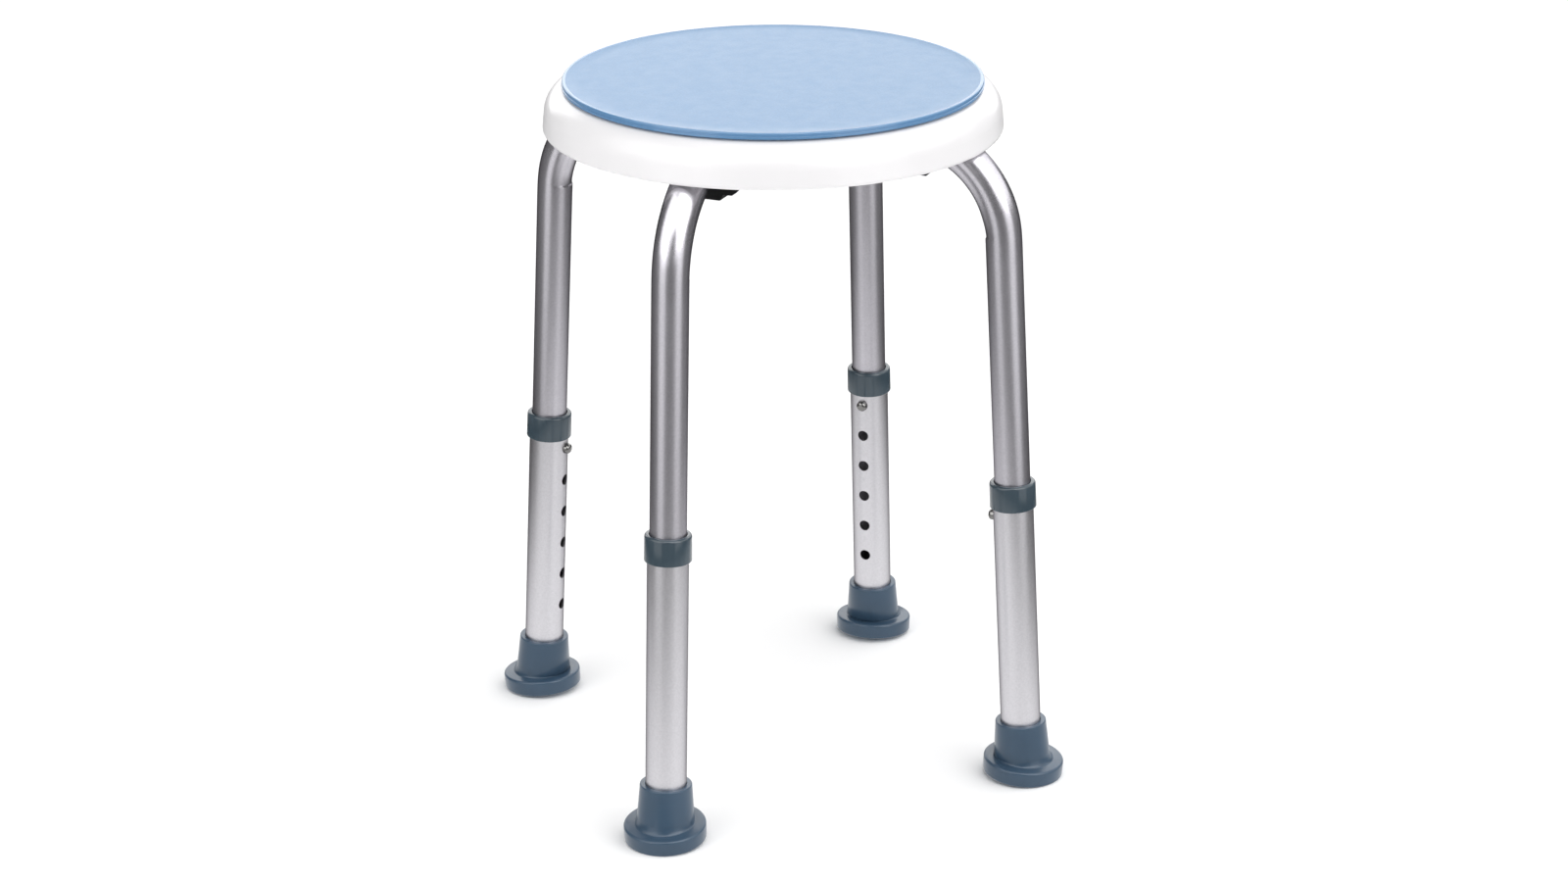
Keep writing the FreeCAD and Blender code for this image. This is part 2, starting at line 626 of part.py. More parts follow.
def hub_plate():
    """The black plate under the seat: a disc and four arms, each the upper half of a leg's clamp."""
    body = new_body("hub_plate", turned(45))
    disc = level_sketch(body, "hub_disc_bottom")
    add_circle(disc, "2 * hub_disc_radius")
    add_circle(disc, "bush_od + 2 * bush_fit")
    pad(body, disc, "hub_top - hub_disc_bottom")
    plan = level_sketch(body, "arm_bottom")
    add_outline(plan, [("arm_start", "0 - arm_half_width"), ("arm_end", "0 - arm_half_width"),
                       ("arm_end", "arm_half_width"), ("arm_start", "arm_half_width")])
    arm = pad(body, plan, "hub_top - arm_bottom")
    groove = channel(body)
    holes = level_sketch(body, "hub_top")
    screw_circles(holes, "screw_bore")
    bores = cut(body, "Pocket", holes, Length="hub_top - arm_bottom")
    polar(body, [arm, groove, bores], 4)
    tip = level_sketch(body, "peg_bottom")
    add_circle(tip, "peg_od", x="peg_radius")
    peg = pad(body, tip, "hub_top - peg_bottom")
    polar(body, [peg], 4)
    end = VALUE["arm_end"]
    half = VALUE["arm_half_width"]
    fillet(body, "arm_round", lambda at, edge: is_near(math.hypot(at.x, at.y), math.hypot(end, half))
           and is_near(edge.BoundBox.ZLength, edge.Length))
    return keep(body)


def clamp_cap(name, angle):
    """The lower half of a leg's clamp: a keeled block with counterbored screw holes and cored pockets."""
    body = new_body(f"clamp_cap_{name}", turned(angle))
    section = new_sketch(body, "YZ_Plane", shifted(z=VALUE["cap_start"]))
    section.setExpression("AttachmentOffset.Base.z", bound("cap_start"))
    half = [
        ("cap_keel_half", "cap_keel"),
        ("cap_step_start", "cap_step"),
        ("cap_step_end", "cap_step"),
        ("arm_half_width", "cap_flank"),
        ("arm_half_width", "cap_top"),
    ]
    other = [("0 - " + side, height) for side, height in reversed(half)]
    add_outline(section, half + other)
    pad(body, section, "cap_end - cap_start")
    long_side = value("cap_end - cap_start")
    fillet(body, "cap_round", lambda at, edge: at.z < value("(cap_flank + cap_top) / 2")
           and is_near(edge.Length, long_side))
    channel(body)
    holes = level_sketch(body, "cap_top")
    screw_circles(holes, "screw_bore")
    cut(body, "Pocket", holes, Length="cap_top - cap_keel")
    heads = level_sketch(body, "screw_seat")
    screw_circles(heads, "counterbore_od")
    cut(body, "Pocket", heads, Length="screw_seat - cap_keel")
    cores = level_sketch(body, "core_top")
    near = "(screw_near + screw_far) / 2 - core_half"
    far = "(screw_near + screw_far) / 2 + core_half"
    for inside, outside in (("channel_od / 2 + core_wall", "arm_half_width - core_wall"),
                            ("core_wall - arm_half_width", "0 - channel_od / 2 - core_wall")):
        add_outline(cores, [(near, inside), (far, inside), (far, outside), (near, outside)])
    cut(body, "Pocket", cores, Length="core_top - cap_keel")
    return keep(body)


def group(label, model, placements):
    """One node of identical solids, each a copy of the model at its place."""
    thing = doc.addObject("Part::Feature", label)
    thing.Label = label
    solids = []
    for place in placements:
        solid = model.Shape.copy()
        solid.Placement = place * model.Placement
        solids.append(solid)
    thing.Shape = Part.makeCompound(solids)
    return keep(thing)


def clamp_screws():
    """Pan-head screws, up through a cap and the hub plate into the seat's bosses."""
    model = new_body("clamp_screw_model")
    head_bottom = "screw_seat - screw_head_rise"
    revolve(model, [
        ("0", head_bottom),
        ("screw_head_od / 2", head_bottom),
        ("screw_head_od / 2", "screw_seat"),
        ("screw_od / 2", "screw_seat"),
        ("screw_od / 2", "screw_end - screw_od / 2"),
        ("screw_point / 2", "screw_end"),
        ("0", "screw_end"),
    ])
    round_rim(model, "screw_head_round", "screw_head_od / 2", head_bottom)
    cross = level_sketch(model, head_bottom)
    long = "recess_span / 2"
    thin = "recess_width / 2"
    add_outline(cross, [
        (long, "0 - " + thin), (long, thin), (thin, thin), (thin, long), ("0 - " + thin, long),
        ("0 - " + thin, thin), ("0 - " + long, thin), ("0 - " + long, "0 - " + thin),
        ("0 - " + thin, "0 - " + thin), ("0 - " + thin, "0 - " + long), (thin, "0 - " + long),
        (thin, "0 - " + thin),
    ])
    cut(model, "Pocket", cross, Length="recess_depth", Reversed=True)
    places = []
    for angle in LEGS.values():
        for distance in (VALUE["screw_near"], VALUE["screw_far"]):
            for side in (VALUE["screw_side"], -VALUE["screw_side"]):
                places.append(turned(angle) * shifted(distance, side))
    return group("clamp_screws", model, places)


# ---- Seat ----

def seat_shell():
    """The moulded seat: a shell with a bearing well, ribs and screw bosses underneath."""
    body = new_body("seat_shell", turned(45))
    well_bottom = "well_floor - seat_wall"
    under = "seat_top - seat_wall"
    revolve(body, [
        ("seat_rim_radius", "seat_bottom"),
        ("seat_top_radius", "seat_top"),
        ("well_radius", "seat_top"),
        ("well_radius", "well_floor"),
        ("bush_od / 2 + bush_fit", "well_floor"),
        ("bush_od / 2 + bush_fit", well_bottom),
        ("well_radius + seat_wall", well_bottom),
        ("well_radius + seat_wall", under),
        ("seat_top_radius - seat_wall", under),
        ("seat_rim_radius - rim_wall", "seat_bottom"),
    ])
    round_rim(body, "shoulder_round", "seat_top_radius", "seat_top")
    round_rim(body, "shoulder_round - seat_wall", "seat_top_radius - seat_wall", under)
    round_rim(body, "seat_rim_round", "seat_rim_radius", "seat_bottom")
    seat_ribs(body)
    seat_bosses(body)
    return keep(body)


def seat_ribs(body):
    """Eight radial ribs, whose outer ends run into the shoulder, and one round rib."""
    spun = Placement(NOWHERE, Rotation(ACROSS, 180 / VALUE["rib_count"]))
    sketch = new_sketch(body, "XZ_Plane", spun)
    under = "seat_top - seat_wall / 2"
    buried = "(shoulder_round - seat_wall / 2)"
    hub = "(seat_top_radius - shoulder_round)"
    corners = [("rib_drop", "rib_bottom"), ("rib_drop", "rib_notch"), ("rib_start", "rib_notch"),
               ("rib_start", under)]
    for slope in RIB_END_SLOPES:
        corners.append((f"{hub} + {buried} * sin({slope})",
                        f"seat_top - shoulder_round + {buried} * cos({slope})"))
    corners.append((f"{hub} + {buried}", "rib_bottom"))
    add_outline(sketch, corners)
    rib = pad(body, sketch, "rib_sheet", Midplane=True)
    polar(body, [rib], "rib_count")
    ring = level_sketch(body, "ring_rib_bottom")
    add_circle(ring, "2 * ring_rib_radius + rib_sheet")
    add_circle(ring, "2 * ring_rib_radius - rib_sheet")
    pad(body, ring, "seat_top - seat_wall / 2 - ring_rib_bottom")


def seat_bosses(body):
    """The bosses that the clamp screws bite into."""
    round_bosses = level_sketch(body, "hub_top")
    screw_circles(round_bosses, "boss_od")
    bosses = pad(body, round_bosses, "seat_top - seat_wall / 2 - hub_top")
    polar(body, [bosses], 4)
    pilots = level_sketch(body, "hub_top")
    screw_circles(pilots, "pilot_bore")
    bores = cut(body, "Pocket", pilots, Length="pilot_end - hub_top", Reversed=True)
    polar(body, [bores], 4)


# ---- Swivel ----

def swivel_plate():
    """The turning plate, with a rib that centres the upper bearing ring and a boss for the pivot bolt."""
    body = new_body("swivel_plate")
    revolve(body, [
        ("pivot_od / 2 + pivot_fit", "pivot_boss_bottom"),
        ("pivot_boss_radius", "pivot_boss_bottom"),
        ("pivot_boss_radius", "plate_bottom"),
        ("spigot_radius - spigot_wall", "plate_bottom"),
        ("spigot_radius - spigot_wall", "spigot_bottom"),
        ("spigot_radius", "spigot_bottom"),
        ("spigot_radius", "plate_bottom"),
        ("plate_radius", "plate_bottom"),
        ("plate_radius", "plate_top"),
        ("pivot_head_od / 2 + pivot_fit", "plate_top"),
        ("pivot_head_od / 2 + pivot_fit", "pivot_head_seat"),
        ("pivot_od / 2 + pivot_fit", "pivot_head_seat"),
    ])
    return keep(body)


def disc_cover():
    """The textured blue cover of the swivel disc, with a skirt round the plate."""
    body = new_body("disc_cover")
    revolve(body, [
        ("0", "plate_top"),
        ("plate_radius + cover_fit", "plate_top"),
        ("plate_radius + cover_fit", "plate_bottom"),
        ("cover_radius", "plate_bottom"),
        ("cover_radius", "cover_top"),
        ("0", "cover_top"),
    ])
    round_rim(body, "cover_round", "cover_radius", "cover_top")
    return keep(body)


def bearing_ring(label, bottom):
    """One ring of the thrust bearing, with the round groove that its balls run in."""
    body = new_body(label)
    revolve(body, [("race_inner", bottom), ("race_outer", bottom),
                   ("race_outer", f"{bottom} + race_rise"), ("race_inner", f"{bottom} + race_rise")])
    groove = new_sketch(body, "XZ_Plane")
    add_circle(groove, "ball_od + 2 * ball_fit", "ball_pitch_radius", BALL_HEIGHT)
    cut(body, "Groove", groove, ReferenceAxis=(groove, ["V_Axis"]), Angle="360")
    return keep(body)


def ball_cage():
    body = new_body("ball_cage")
    ring = level_sketch(body, f"{BALL_HEIGHT} - cage_sheet / 2")
    add_circle(ring, "2 * (ball_pitch_radius + cage_half)")
    add_circle(ring, "2 * (ball_pitch_radius - cage_half)")
    pad(body, ring, "cage_sheet")
    seat = level_sketch(body, f"{BALL_HEIGHT} + cage_sheet / 2")
    add_circle(seat, "ball_od + 3 * ball_fit", "ball_pitch_radius")
    hole = cut(body, "Pocket", seat, Length="cage_sheet")
    polar(body, [hole], "ball_count")
    return keep(body)


def bearing_balls():
    model = doc.addObject("Part::Sphere", "ball_model")
    drive(model, Radius="ball_od / 2")
    model.Placement = shifted(VALUE["ball_pitch_radius"], 0, value(BALL_HEIGHT))
    doc.recompute()
    count = VALUE["ball_count"]
    return group("bearing_balls", model, [turned(360 * number / count) for number in range(count)])


def pivot_bolt():
    """The bolt that holds the swivel down, with a domed head in the plate's boss."""
    body = new_body("pivot_bolt")
    revolve(body, [
        ("0", "pivot_end"),
        ("pivot_od / 2 - pivot_chamfer", "pivot_end"),
        ("pivot_od / 2", "pivot_end + pivot_chamfer"),
        ("pivot_od / 2", "pivot_head_seat"),
        ("pivot_head_od / 2", "pivot_head_seat"),
        ("pivot_head_od / 2", "pivot_head_top"),
        ("0", "pivot_head_top"),
    ])
    round_rim(body, "pivot_head_round", "pivot_head_od / 2", "pivot_head_top")
    return keep(body)


def pivot_bushing():
    """The flanged plastic bush in the seat and hub plate that the pivot bolt turns in."""
    body = new_body("pivot_bushing")
    flange_top = "well_floor + bush_flange_rise"
    revolve(body, [
        ("bush_bore / 2", "hub_disc_bottom"),
        ("bush_od / 2", "hub_disc_bottom"),
        ("bush_od / 2", "well_floor"),
        ("bush_flange_od / 2", "well_floor"),
        ("bush_flange_od / 2", flange_top),
        ("bush_bore / 2", flange_top),
    ])
    return keep(body)


def pivot_washer():
    body = new_body("pivot_washer")
    ring = level_sketch(body, "pivot_washer_top - pivot_washer_rise")
    add_circle(ring, "bush_flange_od")
    add_circle(ring, "pivot_washer_bore")
    pad(body, ring, "pivot_washer_rise")
    return keep(body)


def pivot_nut():
    """The hexagon nut with its round locking crown."""
    body = new_body("pivot_nut")
    top = "pivot_washer_top - pivot_washer_rise"
    face = level_sketch(body, f"{top} - nut_rise")
    corners = []
    for number in range(6):
        turn = 60 * number
        corners.append((f"nut_flats / 2 / cos(30) * cos({turn})", f"nut_flats / 2 / cos(30) * sin({turn})"))
    add_outline(face, corners)
    pad(body, face, "nut_rise")
    crown = level_sketch(body, f"{top} - nut_rise - nut_crown_rise")
    add_circle(crown, "nut_crown_od")
    pad(body, crown, "nut_crown_rise + nut_rise / 2")
    bore = level_sketch(body, top)
    add_circle(bore, "nut_bore")
    cut(body, "Pocket", bore, Length="nut_rise + nut_crown_rise")
    return keep(body)


# ---- The whole stool ----

def check_document():
    """Stop if any object failed, or if a sub-part has no sound shape."""
    failed = [thing.Label for thing in doc.Objects if {"Invalid", "Error"} & set(thing.State)]
    if failed:
        raise ValueError(f"failed objects: {failed}")
    for thing in nodes:
        if thing.Shape.isNull() or not thing.Shape.isValid() or not thing.Shape.Solids:
            raise ValueError(f"no sound shape: {thing.Label}")


def write_parts():
    os.makedirs("parts", exist_ok=True)
    for thing in nodes:
        thing.Shape.exportStep(f"parts/{thing.Label}.step")
        box = thing.Shape.BoundBox
        print(f"{thing.Label:28} {len(thing.Shape.Solids):3} solids {thing.Shape.Volume / 1000:8.2f} cm3"
              f"  z {box.ZMin:7.2f} to {box.ZMax:7.2f}")


def build():
    for name, angle in LEGS.items():
        upper_leg(name, angle)
        end_plug(name, angle)
        button_spring(name, angle)
        snap_button(name, angle)
        lower_leg(name, angle)
        collar(name, angle)
        foot(name, angle)
        foot_washer(name, angle)
        clamp_cap(name, angle)
    clamp_screws()
    hub_plate()
    seat_shell()
    bearing_ring("bearing_lower_ring", "well_floor")
    bearing_ring("bearing_upper_ring", "(plate_bottom - race_rise)")
    ball_cage()
    bearing_balls()
    swivel_plate()
    disc_cover()
    pivot_bolt()
    pivot_bushing()
    pivot_washer()
    pivot_nut()
    doc.recompute()
    check_document()
    write_parts()


sheet = make_sheet()
build()
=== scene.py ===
import json
import math

import bmesh
import bpy
from mathutils import Matrix, Vector


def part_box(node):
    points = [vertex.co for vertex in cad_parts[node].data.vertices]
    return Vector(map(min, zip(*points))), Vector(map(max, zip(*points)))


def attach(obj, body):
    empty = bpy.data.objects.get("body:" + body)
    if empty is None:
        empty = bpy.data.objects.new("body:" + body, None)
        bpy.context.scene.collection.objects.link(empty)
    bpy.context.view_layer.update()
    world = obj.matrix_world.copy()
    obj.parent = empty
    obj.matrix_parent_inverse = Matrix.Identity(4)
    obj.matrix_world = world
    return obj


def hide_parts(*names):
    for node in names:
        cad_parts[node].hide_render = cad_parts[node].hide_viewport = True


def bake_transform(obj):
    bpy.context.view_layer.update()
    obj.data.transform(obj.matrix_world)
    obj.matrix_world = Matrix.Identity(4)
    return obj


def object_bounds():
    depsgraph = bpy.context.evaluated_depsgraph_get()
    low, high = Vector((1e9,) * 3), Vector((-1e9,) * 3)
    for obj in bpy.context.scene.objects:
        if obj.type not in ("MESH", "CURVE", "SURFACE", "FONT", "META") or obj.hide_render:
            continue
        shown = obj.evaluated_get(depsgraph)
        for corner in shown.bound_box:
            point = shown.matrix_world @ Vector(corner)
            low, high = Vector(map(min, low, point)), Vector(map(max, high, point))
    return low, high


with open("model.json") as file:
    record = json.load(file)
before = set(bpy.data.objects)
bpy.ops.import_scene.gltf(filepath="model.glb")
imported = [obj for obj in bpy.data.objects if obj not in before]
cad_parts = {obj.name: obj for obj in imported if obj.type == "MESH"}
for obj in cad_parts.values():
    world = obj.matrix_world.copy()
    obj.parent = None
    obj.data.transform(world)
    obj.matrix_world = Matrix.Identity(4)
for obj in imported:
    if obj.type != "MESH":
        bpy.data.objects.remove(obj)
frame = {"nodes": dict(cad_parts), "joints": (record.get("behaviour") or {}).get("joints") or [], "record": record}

CAD_BOX = [list(corner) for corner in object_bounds()]

# The looks of a round shower stool. Metres, +Z up, origin on the floor under the middle of the seat.

MM = 0.001
UP = Vector((0, 0, 1))
LEGS = ("front_left", "front_right", "back_right", "back_left")
RECORD = frame["record"]
MOUNTS = {mount["name"]: mount for mount in RECORD["mounts"]}
JOINTS = {joint["name"]: joint for joint in frame["joints"]}

# Pieces built here, in millimetres. Heights of leg pieces run along the leg from the floor.

# Upper tube: straight up the leg, round the bend, then a level stretch that ends short of the stool's middle.
INNER_TUBE_RADIUS = 12.7
INNER_TUBE_WALL = 1.2
INNER_TUBE_BOTTOM = 178.8
INNER_TUBE_END = 42.0
STRAIGHT_RINGS = (INNER_TUBE_BOTTOM, 191, 205, 240, 300, 350)
STRETCH_HEIGHT = 468.5
STRETCH_RINGS = (0.3, 0.6, 1)
TUBE_SEGMENTS = 96

# The bend's curve sets in over BEND_EASE on both sides of its start, where the die leaves a shallow dent.
BEND_RADIUS = 70.0
BEND_EASE = 10.0
BEND_STEP = 0.4
STEPS_PER_RING = 5
CLOSE_RINGS_WITHIN = 2
DENT_DEPTH = 0.07
DENT_RISE = 1.6
DENT_FALL = 20

# Holes in the upper tube: one for the snap button, and one for the peg in the level stretch.
HOLE_RADIUS = 4.15
PEG_HOLE_RADIUS = 3.2
PEG_HOLE_FROM_MIDDLE = 70.0
DRILL_LENGTH = 25
DRILL_SEGMENTS = 48

# The lower tube's six height holes, counted down from the snap button's, and the number under each.
TUBE_RADIUS = 14.3
HOLE_TOP = 198.0
HOLE_PITCH = 25.4
HOLE_COUNT = 6
NUMBER_TALL = 4.0
NUMBER_PROUD = 0.09
NUMBER_DROP = 12.0
NUMBER_THINNED = 0.03
FONT_SIZE_PER_HEIGHT = 1.35

# Collar, with a thin lip at its top that holds the inner tube.
COLLAR_BOTTOM = 206.0
COLLAR_TOP = 225.0
COLLAR_RADIUS = 16.4
COLLAR_BORE = 14.35
COLLAR_SEGMENTS = 128
MOULD_LINE = 0.07
LIP_BORE = 12.95
LIP_DEPTH = 4.1
LIP_FLARE_DEPTH = 1.6

# Foot: a flange on the floor, grooved underneath, and a sleeve round the lower tube.
SOLE_RADIUS = 28.95
SOLE_GROOVES = ((7.5, 9.7), (13.5, 15.7), (19.5, 21.7))
SOLE_GROOVE_DEPTH = 1.2
FLANGE_RISE = 11.5
FILLET_REACH = 1.7
FILLET_RISE = 3
FILLET_STEPS = 10
FOOT_RISE = 40.0
SLEEVE_TOP_RADIUS = 18.15
SLEEVE_BASE_RADIUS = 19.95
FOOT_BORE = 14.35
FOOT_BORE_BOTTOM = 8.5
RIM_DEPTH = 6
FOOT_SEGMENTS = 144

# Snap button spring, a folded strip. From the button's centre: its front arm runs down past the button, its
# top is folded, and its back arm ends above the button.
CLIP_FACE = 9.4
CLIP_BACK = 10.4
CLIP_SHEET = 0.8
CLIP_WIDTH = 9.0
CLIP_TOP = 48.0
CLIP_TAIL = 8.0
CLIP_RISE = 10.0
CLIP_ROUND = 9.0
CLIP_ARM_STEPS = 24
CLIP_FOLD_STEPS = 16

# Disc cover: the face lies a little below the bead at its rim, and its side has a small step.
COVER_SKIRT = 144.0
COVER_GRAIN_DROP = 0.2
COVER_RIM = 2.9
COVER_BEAD_INSIDE = 2.3
COVER_BEAD_OUTSIDE = 0.55
COVER_SIDE_DRAFT = 0.5
COVER_STEP_TOP = 1.9
COVER_STEP_BOTTOM = 1.75
COVER_FACE_RINGS = (0, 0.3, 0.6, 0.9)
COVER_SEGMENTS = 256

SHARP_ANGLE = math.radians(50)


# ---- Meshes ----

def rounded(corners, steps=8):
    """Points along straight sides whose corners have a radius: each corner is (x, y, radius)."""
    points = []
    count = len(corners)
    for number, (x, y, radius) in enumerate(corners):
        corner = Vector((x, y))
        if radius == 0 or number in (0, count - 1):
            points.append(corner)
            continue
        before = (Vector(corners[number - 1][:2]) - corner).normalized()
        after = (Vector(corners[number + 1][:2]) - corner).normalized()
        half = before.angle(after) / 2
        centre = corner + (before + after).normalized() * (radius / math.sin(half))
        start = corner + before * (radius / math.tan(half)) - centre
        turn = start.angle_signed(corner + after * (radius / math.tan(half)) - centre)
        for step in range(steps + 1):
            points.append(centre + Matrix.Rotation(-turn * step / steps, 2) @ start)
    return [tuple(point) for point in points]


def finish_mesh(name, shape):
    """A smooth-shaded piece from a bmesh, with edges steeper than SHARP_ANGLE kept crisp."""
    bmesh.ops.recalc_face_normals(shape, faces=shape.faces)
    mesh = bpy.data.meshes.new(name)
    shape.to_mesh(mesh)
    shape.free()
    mesh.polygons.foreach_set("use_smooth", [True] * len(mesh.polygons))
    mesh.set_sharp_from_angle(angle=SHARP_ANGLE)
    piece = bpy.data.objects.new(name, mesh)
    bpy.context.scene.collection.objects.link(piece)
    return piece


def skin_rings(shape, rings, closed=False):
    """Faces between rings of vertices; a ring of one vertex is a pole."""
    pairs = list(zip(rings, rings[1:]))
    if closed:
        pairs.append((rings[-1], rings[0]))
    for lower, upper in pairs:
        count = max(len(lower), len(upper))
        for number in range(count):
            following = (number + 1) % count
            corners = [lower[number % len(lower)], lower[following % len(lower)],
                       upper[following % len(upper)], upper[number % len(upper)]]
            shape.faces.new(dict.fromkeys(corners))


def ring_of(shape, place, radius, segments):
    """A ring of vertices: place(x, y) gives the point for a place in the ring's own plane."""
    if radius == 0:
        return [shape.verts.new(place(0, 0))]
    turns = [2 * math.pi * number / segments for number in range(segments)]
    return [shape.verts.new(place(radius * math.cos(turn), radius * math.sin(turn))) for turn in turns]


def lathe(name, outline, place=Matrix.Identity(4), segments=128):
    """A solid of revolution about the place's Z, from (radius, height) points in millimetres."""
    shape = bmesh.new()
    rings = []
    for radius, height in outline:
        rings.append(ring_of(shape, lambda x, y: place @ (Vector((x, y, height)) * MM), radius, segments))
    skin_rings(shape, rings)
    return finish_mesh(name, shape)


def drill(name, radius, place):
    """A plain cylinder that stands on the place, to cut a hole with."""
    outline = [(0, 0), (radius, 0), (radius, DRILL_LENGTH), (0, DRILL_LENGTH)]
    return lathe(name, outline, place, DRILL_SEGMENTS)


def drilled(solid, drills):
    """The solid with holes where the drills are. The drills and the plain solid are used up."""
    for cutter in drills:
        cut = solid.modifiers.new("drill", "BOOLEAN")
        cut.operation = "DIFFERENCE"
        cut.object = cutter
    mesh = bpy.data.meshes.new_from_object(solid.evaluated_get(bpy.context.evaluated_depsgraph_get()))
    shape = bmesh.new()
    shape.from_mesh(mesh)
    name = solid.name
    for used in (solid, *drills):
        bpy.data.objects.remove(used)
    bpy.data.meshes.remove(mesh)
    return finish_mesh(name, shape)


def smooth(part):
    """0 to 1 with a soft start and a soft end."""
    part = min(1, max(0, part))
    return (3 - 2 * part) * part ** 2


# ---- Where the legs are ----

def leg_axis(leg):
    """Up along the leg."""
    return Vector(JOINTS["leg_slide_" + leg]["axis"]).normalized()


def outward(leg):
    """Level, from the stool's middle to the leg."""
    axis = leg_axis(leg)
    return -Vector((axis.x, axis.y, 0)).normalized()


def sole_centre(leg):
    return Vector(MOUNTS["sole_" + leg]["pos_m"])


def sole_normal(leg):
    """Up from the sole."""
    return -Vector(MOUNTS["sole_" + leg]["axis"]).normalized()


def frame_from(origin, x, z):
    """A frame from its origin, its X and its Z."""
    y = z.cross(x).normalized()
    x = y.cross(z).normalized()
    turn = Matrix((x, y, z)).transposed().to_4x4()
    return Matrix.Translation(origin) @ turn


def leg_frame(leg):
    """Origin where the leg's axis crosses the floor, Z up the leg, X away from the stool's middle."""
    axis = leg_axis(leg)
    centre = sole_centre(leg)
    return frame_from(centre - axis * (centre.z / axis.z), outward(leg), axis)


def button_centre(leg):
    """Where the snap button's axis crosses the leg's."""
    return leg_frame(leg) @ Vector((0, 0, HOLE_TOP * MM))


def button_way(leg):
    """The way the snap button springs out: square to the leg, towards the stool's middle."""
    return -(leg_frame(leg).to_3x3() @ Vector((1, 0, 0)))


# ---- Pieces ----

def disc_cover():
    """The blue cover: a fine bead round a grained face, and a side with a small step."""
    low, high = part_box("disc_cover")
    radius = high.x / MM
    top = high.z / MM
    bottom = low.z / MM
    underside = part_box("swivel_plate")[1].z / MM
    face = top - COVER_GRAIN_DROP
    outline = rounded([
        (0, face, 0),
        (radius - COVER_RIM, face, 0),
        (radius - COVER_BEAD_INSIDE, top, 0.5),
        (radius - COVER_BEAD_OUTSIDE, top, 1.1),
        (radius - COVER_SIDE_DRAFT, bottom + COVER_STEP_TOP, 0),
        (radius, bottom + COVER_STEP_BOTTOM, 0.25),
        (radius, bottom, 0.3),
        (COVER_SKIRT, bottom, 0.2),
        (COVER_SKIRT, underside, 0.2),
        (0, underside, 0),
    ])
    rings = [(radius * part, face) for part in COVER_FACE_RINGS]
    cover = lathe("disc_cover_moulding", rings + outline[1:], segments=COVER_SEGMENTS)
    for name in ("disc_plastic", "disc_rim"):
        cover.data.materials.append(MATERIALS[name])
    for polygon in cover.data.polygons:
        polygon.material_index = int(polygon.center.xy.length > (radius - COVER_RIM) * MM)
    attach(cover, "swivel")
    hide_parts("disc_cover")


def bend_dent(travelled):
    """How much the tube is squashed on the inside of its bend: the mark of the bending die at its start."""
    rise = smooth((travelled + DENT_RISE / 2) / DENT_RISE)
    fall = smooth(travelled / DENT_FALL)
    return DENT_DEPTH * rise * (1 - fall)


def bend_path(start, full_turn):
    """(place, turn, way travelled past the start) up the bend, whose curve sets in over BEND_EASE."""
    spot, turn, travelled = Vector((0, 0, start - BEND_EASE)), 0.0, -BEND_EASE
    path = []
    number = 0
    while turn < full_turn:
        if number % STEPS_PER_RING == 0 or abs(travelled) < CLOSE_RINGS_WITHIN:
            path.append((spot.copy(), turn, travelled))
        onset = min(1, (travelled + BEND_EASE) / (2 * BEND_EASE))
        turn += onset * BEND_STEP / BEND_RADIUS
        spot += Vector((-math.sin(turn), 0, math.cos(turn))) * BEND_STEP
        travelled += BEND_STEP
        number += 1
    path.append((spot, full_turn, travelled))
    return path


def tube_path(leg):
    """(place, turn, way travelled past the bend's start) along the whole upper tube, in the leg's frame."""
    splay = math.acos(leg_axis(leg).z)
    bend_start = (STRETCH_HEIGHT - BEND_RADIUS * (1 - math.sin(splay))) / math.cos(splay)
    reach = leg_frame(leg).translation.xy.length / MM
    level = reach - BEND_RADIUS * math.cos(splay) - bend_start * math.sin(splay) - INNER_TUBE_END
    full_turn = math.pi / 2 - splay
    path = [(Vector((0, 0, height)), 0, height - bend_start) for height in STRAIGHT_RINGS]
    path += bend_path(bend_start, full_turn)
    last, _, travelled = path[-1]
    level_way = Vector((-math.cos(splay), 0, math.sin(splay)))
    return path + [(last + level_way * level * part, full_turn, travelled) for part in STRETCH_RINGS]


def tube_ring(shape, place, station, radius):
    """A ring of the upper tube at one station of its path."""
    spot, turn, travelled = station
    across = Vector((math.cos(turn), 0, math.sin(turn)))
    squash = 1 - bend_dent(travelled)

    def point(x, y):
        aside = x * squash if x < 0 else x
        return place @ ((spot + across * aside + Vector((0, y, 0))) * MM)

    return ring_of(shape, point, radius, TUBE_SEGMENTS)


def bent_tube(leg):
    """The upper tube: up the leg, round the bend and level to the hub, with its button and peg holes."""
    place = leg_frame(leg)
    path = tube_path(leg)
    bore = INNER_TUBE_RADIUS - INNER_TUBE_WALL
    shape = bmesh.new()
    rings = [tube_ring(shape, place, station, INNER_TUBE_RADIUS) for station in path]
    rings += [tube_ring(shape, place, station, bore) for station in path[::-1]]
    skin_rings(shape, rings, closed=True)
    tube = finish_mesh("bent_tube_" + leg, shape)
    button_place = frame_from(button_centre(leg), leg_axis(leg), button_way(leg))
    button_hole = drill("button_hole", HOLE_RADIUS, button_place)
    peg_place = Matrix.Translation(outward(leg) * PEG_HOLE_FROM_MIDDLE * MM + UP * STRETCH_HEIGHT * MM)
    peg_hole = drill("peg_hole", PEG_HOLE_RADIUS, peg_place)
    tube = drilled(tube, [button_hole, peg_hole])
    tube.data.materials.append(MATERIALS["satin_tube"])
    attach(tube, "frame")
    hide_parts("upper_leg_" + leg)


